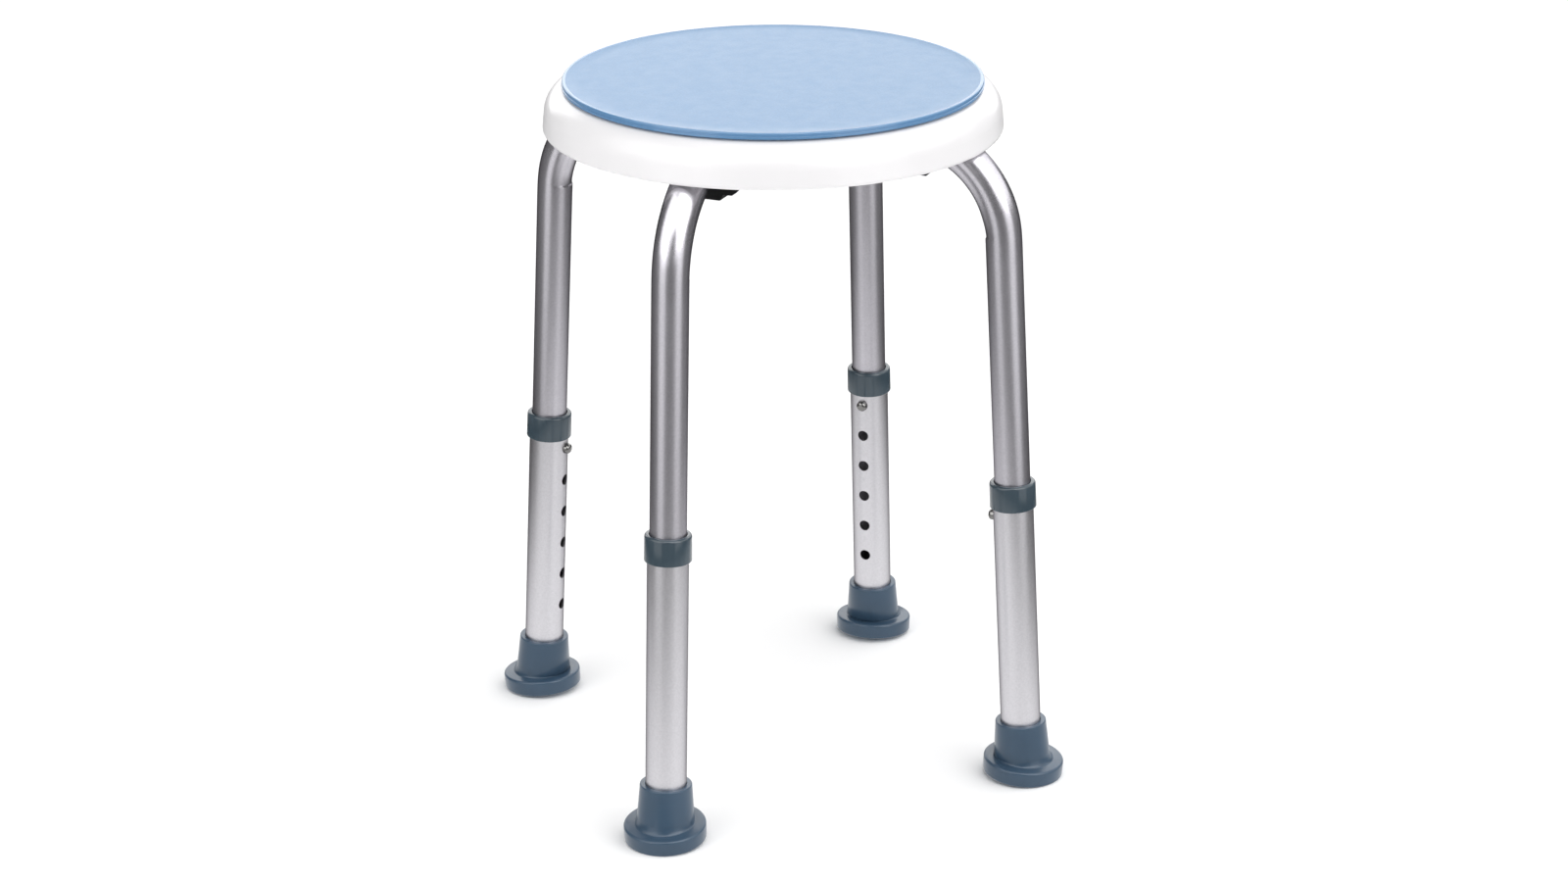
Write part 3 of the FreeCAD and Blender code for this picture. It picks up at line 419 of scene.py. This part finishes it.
def collar(leg):
    """A collar with a soft shoulder, a lip round the inner tube and a faint mould line on each side."""
    lip_top = LIP_BORE + 0.1
    outline = rounded([
        (COLLAR_BORE, COLLAR_BOTTOM, 0),
        (COLLAR_RADIUS + 0.05, COLLAR_BOTTOM, 0.7),
        (COLLAR_RADIUS - 0.15, COLLAR_TOP, 2.1),
        (lip_top, COLLAR_TOP, 0.45),
        (lip_top, COLLAR_TOP - LIP_FLARE_DEPTH, 0),
        (LIP_BORE, COLLAR_TOP - LIP_DEPTH, 0),
        (COLLAR_BORE, COLLAR_TOP - LIP_DEPTH, 0),
    ])
    place = leg_frame(leg)
    half_turn = COLLAR_SEGMENTS // 2
    shape = bmesh.new()
    rings = []
    for radius, height in outline:
        ring = []
        for number in range(COLLAR_SEGMENTS):
            turn = 2 * math.pi * number / COLLAR_SEGMENTS
            on_line = number % half_turn == half_turn // 2 and radius > COLLAR_BORE + 1
            ridged = radius + (MOULD_LINE if on_line else 0)
            spot = Vector((ridged * math.cos(turn), ridged * math.sin(turn), height))
            ring.append(shape.verts.new(place @ (spot * MM)))
        rings.append(ring)
    skin_rings(shape, rings, closed=True)
    piece = finish_mesh("collar_moulding_" + leg, shape)
    piece.data.materials.append(MATERIALS["collar_plastic"])
    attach(piece, "lower_leg_" + leg)
    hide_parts("collar_" + leg)


def foot_outline():
    """(radius, height, lean) rings of a foot: lean 0 is square to the sole, 1 is square to the leg."""
    sole = [(0, 0)]
    for inner, outer in SOLE_GROOVES:
        sole += [(inner, 0), (inner, SOLE_GROOVE_DEPTH), (outer, SOLE_GROOVE_DEPTH), (outer, 0)]
    flange = rounded([
        (*sole[-1], 0),
        (SOLE_RADIUS - 0.25, 0, 1.0),
        (SOLE_RADIUS - 0.1, FLANGE_RISE - 0.4, 1.9),
        (SLEEVE_BASE_RADIUS + FILLET_REACH, FLANGE_RISE, 0),
    ])
    rings = [(radius, height, 0) for radius, height in sole + flange[1:]]
    low = Vector((SLEEVE_BASE_RADIUS + FILLET_REACH, FLANGE_RISE))
    bend = Vector((SLEEVE_BASE_RADIUS + 0.3, FLANGE_RISE))
    high = Vector((SLEEVE_BASE_RADIUS + 0.1, FLANGE_RISE + FILLET_RISE))
    for step in range(1, FILLET_STEPS + 1):
        part = step / FILLET_STEPS
        spot = low * (1 - part) ** 2 + bend * (2 * part * (1 - part)) + high * part ** 2
        rings.append((spot.x, spot.y, part ** 1.5))
    rim = rounded([
        (high.x, high.y, 0),
        (SLEEVE_TOP_RADIUS, FOOT_RISE, 0.9),
        (FOOT_BORE, FOOT_RISE, 0.4),
        (FOOT_BORE, FOOT_RISE - RIM_DEPTH, 0),
    ])
    rings += [(radius, height, 1) for radius, height in rim[1:]]
    return rings + [(FOOT_BORE, FOOT_BORE_BOTTOM, 1), (0, FOOT_BORE_BOTTOM, 1)]


def foot(leg):
    """The rubber foot: the flange is square to its sole, and the sleeve follows the leg."""
    centre = sole_centre(leg)
    radial = outward(leg)
    side = UP.cross(radial)
    sole = sole_normal(leg)
    axis = leg_axis(leg)
    tilt = math.atan2(sole.dot(radial), sole.z)
    lean = math.atan2(axis.dot(radial), axis.z)
    shape = bmesh.new()
    rings = []
    for radius, height, part in foot_outline():
        angle = tilt + (lean - tilt) * part
        along = radial * math.sin(angle) + UP * math.cos(angle)
        across = radial * math.cos(angle) - UP * math.sin(angle)
        rings.append(ring_of(shape, lambda x, y: centre + (along * height + across * x + side * y) * MM,
                             radius, FOOT_SEGMENTS))
    skin_rings(shape, rings)
    piece = finish_mesh("foot_rubber_" + leg, shape)
    piece.data.materials.append(MATERIALS["foot_rubber"])
    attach(piece, "lower_leg_" + leg)
    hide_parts("foot_" + leg)


def button_spring(leg):
    """The spring strip behind the snap button, with a front arm, a folded top and a back arm."""
    half_sheet, half_width = CLIP_SHEET / 2, CLIP_WIDTH / 2
    front, back, top = CLIP_FACE - half_sheet, half_sheet - CLIP_BACK, CLIP_TOP - half_sheet
    fold = CLIP_ROUND - half_sheet
    arm_length = top - fold + CLIP_TAIL
    arm = [(front, -CLIP_TAIL + arm_length * step / CLIP_ARM_STEPS, 0) for step in range(CLIP_ARM_STEPS)]
    corners = arm + [(front, top, fold), (back, top, fold), (back, CLIP_RISE, 0)]
    line = [Vector(point) for point in rounded(corners, CLIP_FOLD_STEPS)]
    clip = frame_from(button_centre(leg), button_way(leg), leg_axis(leg))
    shape = bmesh.new()
    rings = []
    for number, spot in enumerate(line):
        along = (line[min(number + 1, len(line) - 1)] - line[max(number - 1, 0)]).normalized()
        across = Vector((along.y, -along.x)) * half_sheet
        edges = [(spot + across, half_width), (spot - across, half_width),
                 (spot - across, -half_width), (spot + across, -half_width)]
        rings.append([shape.verts.new(clip @ (Vector((at.x, side, at.y)) * MM)) for at, side in edges])
    skin_rings(shape, rings)
    shape.faces.new(rings[0])
    shape.faces.new(rings[-1])
    piece = finish_mesh("button_clip_" + leg, shape)
    piece.data.materials.append(MATERIALS["spring_steel"])
    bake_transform(piece)
    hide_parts("button_spring_" + leg)


def digit(number):
    """A flat digit in a bmesh, in millimetres about its middle."""
    curve = bpy.data.curves.new("digit", "FONT")
    curve.body = str(number)
    curve.size = NUMBER_TALL * FONT_SIZE_PER_HEIGHT
    curve.align_x = "CENTER"
    curve.align_y = "CENTER"
    curve.offset = -NUMBER_THINNED
    curve.resolution_u = 4
    text = bpy.data.objects.new("digit", curve)
    mesh = bpy.data.meshes.new_from_object(text)
    bpy.data.objects.remove(text)
    shape = bmesh.new()
    shape.from_mesh(mesh)
    bpy.data.meshes.remove(mesh)
    return shape


def height_numbers(leg):
    """Small raised numbers under the height holes, wrapped on the tube, with 1 under the lowest."""
    place = leg_frame(leg)
    for hole in range(HOLE_COUNT):
        number = HOLE_COUNT - hole
        middle = HOLE_TOP - HOLE_PITCH * hole - NUMBER_DROP
        shape = digit(number)
        solid = bmesh.ops.extrude_face_region(shape, geom=shape.faces[:])
        raised = {item for item in solid["geom"] if isinstance(item, bmesh.types.BMVert)}
        for vertex in shape.verts:
            turn = math.pi - vertex.co.x / TUBE_RADIUS
            radius = TUBE_RADIUS + (NUMBER_PROUD if vertex in raised else -NUMBER_PROUD)
            spot = Vector((radius * math.cos(turn), radius * math.sin(turn), middle + vertex.co.y))
            vertex.co = place @ (spot * MM)
        piece = finish_mesh(f"height_number_{number}_{leg}", shape)
        piece.data.materials.append(MATERIALS["number"])
        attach(piece, "lower_leg_" + leg)


# ---- Materials ----

# Noise is around 0.5 and seldom leaves this range, over which colours and numbers are spread.
NOISE_LOW, NOISE_HIGH = 0.3, 0.7

# How fine the patches of uneven gloss are, as the scale of their noise.
PLASTIC_PATCHES = 90
SATIN_PATCHES = 300
METAL_PATCHES = 400

NO_EDGE_TINT = (0, 0, 0, 1)
DISC_BLUE = (0.105, 0.235, 0.42)

# Roughness of the upper tube on its straight and where it was bent, and the heights between them in metres.
SATIN_ROUGH, BURNISHED_ROUGH = 0.36, 0.25
BURNISH_BOTTOM, BURNISH_TOP = 0.385, 0.44


def new_material(name, **settings):
    """A material whose shader sockets have the given constant values."""
    made = bpy.data.materials.new(name)
    made.use_nodes = True
    shader = made.node_tree.nodes["Principled BSDF"]
    for socket, setting in settings.items():
        shader.inputs[socket.replace("_", " ")].default_value = setting
    return made


def add_node(made, kind, settings=None, **attributes):
    """A shader node: settings are its sockets' values, and attributes are its own."""
    node = made.node_tree.nodes.new("ShaderNode" + kind)
    for name, attribute in attributes.items():
        setattr(node, name, attribute)
    for socket, setting in (settings or {}).items():
        node.inputs[socket].default_value = setting
    return node


def join(made, source, target):
    made.node_tree.links.new(source, target)


def feed_shader(made, source, socket):
    join(made, source, made.node_tree.nodes["Principled BSDF"].inputs[socket])


def coordinates(made, stretch=(1, 1, 1)):
    """The piece's own coordinates, scaled along each axis."""
    place = add_node(made, "TexCoord")
    mapping = add_node(made, "Mapping", {"Scale": stretch})
    join(made, place.outputs["Object"], mapping.inputs["Vector"])
    return mapping.outputs["Vector"]


def noise(made, where, scale, detail=2.0, roughness=0.5):
    node = add_node(made, "TexNoise", {"Scale": scale, "Detail": detail, "Roughness": roughness})
    join(made, where, node.inputs["Vector"])
    return node.outputs["Fac"]


def spread(made, source, low, high, start=NOISE_LOW, end=NOISE_HIGH, ease="LINEAR"):
    """A number that goes from low to high as the source goes from start to end."""
    node = add_node(made, "MapRange", {"From Min": start, "From Max": end, "To Min": low, "To Max": high},
                    interpolation_type=ease)
    join(made, source, node.inputs["Value"])
    return node.outputs["Result"]


def tint(made, source, colour, vary):
    """The shader's base colour: a bit darker or lighter than the colour, by the source."""
    ramp = add_node(made, "ValToRGB")
    darker, lighter = ramp.color_ramp.elements
    for element, position, part in ((darker, NOISE_LOW, 1 - vary), (lighter, NOISE_HIGH, 1 + vary)):
        element.position = position
        element.color = (*(channel * part for channel in colour), 1)
    join(made, source, ramp.inputs["Fac"])
    feed_shader(made, ramp.outputs["Color"], "Base Color")


def bumped(made, source, depth):
    """Bump from the source, with its depth in metres."""
    node = add_node(made, "Bump", {"Strength": 1.0, "Distance": depth})
    join(made, source, node.inputs["Height"])
    feed_shader(made, node.outputs["Normal"], "Normal")


def moulded(name, colour, rough, grain_scale, grain_depth, vary=0.06, cloud_scale=35, **settings):
    """A moulded plastic or rubber: slight colour variation, uneven gloss and a fine grain."""
    made = new_material(name, **settings)
    where = coordinates(made)
    tint(made, noise(made, where, cloud_scale, 4), colour, vary)
    uneven = spread(made, noise(made, where, PLASTIC_PATCHES, 3), rough - 0.02, rough + 0.03)
    feed_shader(made, uneven, "Roughness")
    bumped(made, noise(made, where, grain_scale, 3, 0.6), grain_depth)
    return made


def metal(name, colour, rough, stretch=(1, 1, 1), grain_scale=2500, grain_depth=4e-6, vary=0.05,
          cloud_scale=60, **settings):
    """Bare metal: grain stretched along the way it was drawn or turned, and cloudy gloss."""
    made = new_material(name, Metallic=1.0, **settings)
    where = coordinates(made, stretch)
    tint(made, noise(made, coordinates(made), cloud_scale, 4), colour, vary)
    uneven = spread(made, noise(made, where, METAL_PATCHES, 3), rough - 0.03, rough + 0.03)
    feed_shader(made, uneven, "Roughness")
    bumped(made, noise(made, where, grain_scale, 2), grain_depth)
    return made


def satin_tube():
    """Anodised tube, satin on the straight and burnished where it was bent."""
    made = metal("satin_tube", (0.56, 0.545, 0.585), SATIN_ROUGH, stretch=(1, 1, 0.15), vary=0.06,
                 cloud_scale=700, Specular_Tint=NO_EDGE_TINT)
    split = add_node(made, "SeparateXYZ")
    join(made, coordinates(made), split.inputs["Vector"])
    rough = spread(made, split.outputs["Z"], SATIN_ROUGH, BURNISHED_ROUGH, BURNISH_BOTTOM, BURNISH_TOP)
    uneven = spread(made, noise(made, coordinates(made), SATIN_PATCHES, 3), -0.015, 0.015)
    total = add_node(made, "Math", operation="ADD")
    join(made, rough, total.inputs[0])
    join(made, uneven, total.inputs[1])
    feed_shader(made, total.outputs["Value"], "Roughness")
    return made


MATERIALS = {
    "satin_tube": satin_tube(),
    "sanded_tube": metal("sanded_tube", (0.62, 0.61, 0.637), 0.38, grain_scale=2200, grain_depth=9e-6,
                         cloud_scale=700, Specular_Tint=NO_EDGE_TINT),
    "seat_plastic": moulded("seat_plastic", (0.79, 0.78, 0.79), 0.3, 700, 2e-6, vary=0.008,
                            Coat_Weight=0.25, Coat_Roughness=0.12),
    "disc_plastic": moulded("disc_plastic", DISC_BLUE, 0.38, 700, 9e-5, vary=0.07, cloud_scale=700,
                            Specular_IOR_Level=0.6),
    "disc_rim": moulded("disc_rim", DISC_BLUE, 0.16, 700, 4e-6, vary=0.02,
                        Coat_Weight=0.25, Coat_Roughness=0.06),
    "plate_plastic": moulded("plate_plastic", (0.20, 0.36, 0.60), 0.45, 900, 1e-5),
    "black_plastic": moulded("black_plastic", (0.005, 0.0055, 0.006), 0.6, 1100, 3e-5, vary=0.15,
                             Specular_IOR_Level=0.25),
    "collar_plastic": moulded("collar_plastic", (0.042, 0.063, 0.08), 0.13, 500, 3e-6),
    "foot_rubber": moulded("foot_rubber", (0.034, 0.068, 0.112), 0.32, 900, 6e-6,
                           Specular_IOR_Level=0.35, Coat_Weight=0.2, Coat_Roughness=0.06),
    "button_steel": metal("button_steel", (0.2, 0.197, 0.193), 0.1, grain_depth=1e-6),
    "spring_steel": metal("spring_steel", (0.42, 0.42, 0.43), 0.35, stretch=(1, 1, 0.1)),
    "zinc_steel": metal("zinc_steel", (0.60, 0.61, 0.64), 0.3, vary=0.12, grain_scale=900, grain_depth=8e-6),
    "bearing_steel": metal("bearing_steel", (0.52, 0.52, 0.53), 0.28, stretch=(1, 1, 6)),
    "ball_steel": metal("ball_steel", (0.68, 0.68, 0.69), 0.08, grain_depth=1e-6),
    "white_nylon": moulded("white_nylon", (0.72, 0.71, 0.66), 0.42, 800, 1e-5, vary=0.04),
    "number": moulded("number", (0.6, 0.6, 0.62), 0.5, 900, 2e-6),
}


def dress_cad_nodes():
    """Give each CAD node the material of its slot."""
    slots = {part["node"]: part["material_slot"] for part in RECORD["subparts"]}
    for name, node in frame["nodes"].items():
        node.data.materials.clear()
        node.data.materials.append(MATERIALS[slots[name]])


# ---- Floor, light and camera ----

# The view: angles in degrees, the lens and its sensor in millimetres, and the rest in metres.
VIEW_AZIMUTH = -21.7
VIEW_ELEVATION = 20.92
VIEW_ROLL = 0.214
VIEW_DISTANCE = 2.489
VIEW_LENS = 79.24
SENSOR_WIDTH = 36
AIM_HEIGHT = 0.2274
AIM_ASIDE = 0.0067

# What metal mirrors of the table: full light up to GLOW_START from the middle, and none from GLOW_END.
GLOW_START = 0.42
GLOW_END = 0.9
GLOW_NARROWING = 1.2

RAYS = ("camera", "diffuse", "glossy", "shadow", "transmission", "volume_scatter")


def seen_only_by(piece, ray):
    for kind in RAYS:
        setattr(piece, "visible_" + kind, kind == ray)


def studio_floor(level):
    """White paper. Gloss doesn't see it, so bare metal mirrors the studio lights and not the paper."""
    shape = bmesh.new()
    bmesh.ops.create_grid(shape, x_segments=1, y_segments=1, size=15)
    floor = finish_mesh("studio_floor", shape)
    floor.location.z = level
    floor.visible_glossy = False
    paper = new_material("studio_paper", Base_Color=(0.98, 0.98, 0.98, 1), Roughness=0.9)
    floor.data.materials.append(paper)


def aimed(name, light, azimuth, height, distance, target):
    """Place a light: azimuth 0 is the camera's side of the stool, and 90 its right."""
    lamp = bpy.data.objects.new(name, light)
    turn = math.radians(VIEW_AZIMUTH + azimuth)
    lamp.location = (math.sin(turn) * distance, -math.cos(turn) * distance, height)
    aim = Vector((0, 0, target)) - lamp.location
    lamp.rotation_euler = aim.to_track_quat("-Z", "Y").to_euler()
    bpy.context.scene.collection.objects.link(lamp)
    return lamp


def softbox(name, azimuth, height, distance, size, glow, target=0.3, gloss_only=False):
    """A rectangular softbox: glow is how bright its face is, where white paper in its light is 1."""
    light = bpy.data.lights.new(name, "AREA")
    light.shape = "RECTANGLE"
    light.size, light.size_y = size
    light.energy = glow * math.pi * size[0] * size[1]
    lamp = aimed(name, light, azimuth, height, distance, target)
    lamp.visible_diffuse = not gloss_only
    lamp.visible_camera = False


def sky_panel(azimuth, height, strength, width):
    """The even light of a large diffuser overhead, width degrees across."""
    light = bpy.data.lights.new("sky_panel", "SUN")
    light.energy = strength
    light.angle = math.radians(width)
    aimed("sky_panel", light, azimuth, height, distance=1.0, target=0)


def glowing(name, strength):
    """An emission material and its strength socket."""
    made = bpy.data.materials.new(name)
    made.use_nodes = True
    made.node_tree.nodes.clear()
    emission = add_node(made, "Emission", {"Strength": strength})
    output = add_node(made, "OutputMaterial")
    join(made, emission.outputs["Emission"], output.inputs["Surface"])
    return made, emission.inputs["Strength"]


def table_glow(level, glow):
    """What bare metal sees of the paper: bright round the stool, fading away from it, soonest sideways."""
    shape = bmesh.new()
    bmesh.ops.create_circle(shape, cap_ends=True, segments=64, radius=GLOW_END)
    table = finish_mesh("table_glow", shape)
    table.location.z = level
    table.rotation_euler.z = math.radians(VIEW_AZIMUTH)
    seen_only_by(table, "glossy")
    made, strength = glowing("table_glow", glow)
    distance = add_node(made, "VectorMath", operation="LENGTH")
    join(made, coordinates(made, (GLOW_NARROWING, 1, 1)), distance.inputs[0])
    fading = spread(made, distance.outputs["Value"], glow, 0, GLOW_START, GLOW_END, "SMOOTHSTEP")
    join(made, fading, strength)
    table.data.materials.append(made)


def backdrop(radius, height):
    """White paper all round the floor, for the camera alone."""
    shape = bmesh.new()
    rings = [ring_of(shape, lambda x, y: Vector((x, y, level)), radius, 64) for level in (0, height)]
    skin_rings(shape, rings)
    wall = finish_mesh("studio_backdrop", shape)
    seen_only_by(wall, "camera")
    wall.data.materials.append(glowing("studio_backdrop", 1.0)[0])


def light_studio():
    """Even light from above, softboxes that the tubes mirror, and white paper all round."""
    world = bpy.data.worlds.new("studio")
    bpy.context.scene.world = world
    world.use_nodes = True
    background = world.node_tree.nodes["Background"]
    background.inputs["Color"].default_value = (1, 1, 1, 1)
    background.inputs["Strength"].default_value = 0.2
    sky_panel(azimuth=90, height=1.8, strength=2.9, width=100)
    softbox("top_box_left", azimuth=-60, height=1.5, distance=1.6, size=(2.2, 1.9), glow=1.1)
    for name, azimuth, height, distance, size, glow in (
            ("top_sheen_left", -46, 1.5, 1.6, (2.4, 1.9), 1.0),
            ("top_sheen_right", 38, 1.5, 1.6, (1.6, 1.9), 2.1),
            ("back_panel", 180, 1.3, 2.6, (4.5, 1.7), 2.15),
            ("top_sheen_front", 0, 1.9, 1.3, (1.3, 1.2), 1.3)):
        softbox(name, azimuth, height, distance, size, glow, gloss_only=True)
    for name, azimuth in (("strip_box_left", -46), ("strip_box_right", 49)):
        softbox(name, azimuth, height=-0.6, distance=2.0, size=(1.3, 4.6), glow=1.0, target=-0.6)
    table_glow(level=-0.004, glow=1.17)
    backdrop(radius=14, height=12)
    bpy.context.scene.view_settings.view_transform = "Standard"


def add_camera():
    data = bpy.data.cameras.new("camera")
    data.lens = VIEW_LENS
    data.sensor_width = SENSOR_WIDTH
    camera = bpy.data.objects.new("camera", data)
    bpy.context.scene.collection.objects.link(camera)
    turn = math.radians(VIEW_AZIMUTH)
    rise = math.radians(VIEW_ELEVATION)
    back = Vector((math.sin(turn) * math.cos(rise), -math.cos(turn) * math.cos(rise), math.sin(rise)))
    right = Vector((math.cos(turn), math.sin(turn), 0))
    aim = right * AIM_ASIDE + UP * AIM_HEIGHT
    upright = Matrix((right, back.cross(right), back)).transposed()
    rolled = upright @ Matrix.Rotation(math.radians(-VIEW_ROLL), 3, "Z")
    camera.matrix_world = Matrix.Translation(aim + back * VIEW_DISTANCE) @ rolled.to_4x4()
    bpy.context.scene.camera = camera


def build():
    dress_cad_nodes()
    disc_cover()
    for leg in LEGS:
        bent_tube(leg)
        collar(leg)
        foot(leg)
        button_spring(leg)
        height_numbers(leg)
    studio_floor(level=CAD_BOX[0][2])
    light_studio()
    add_camera()


build()
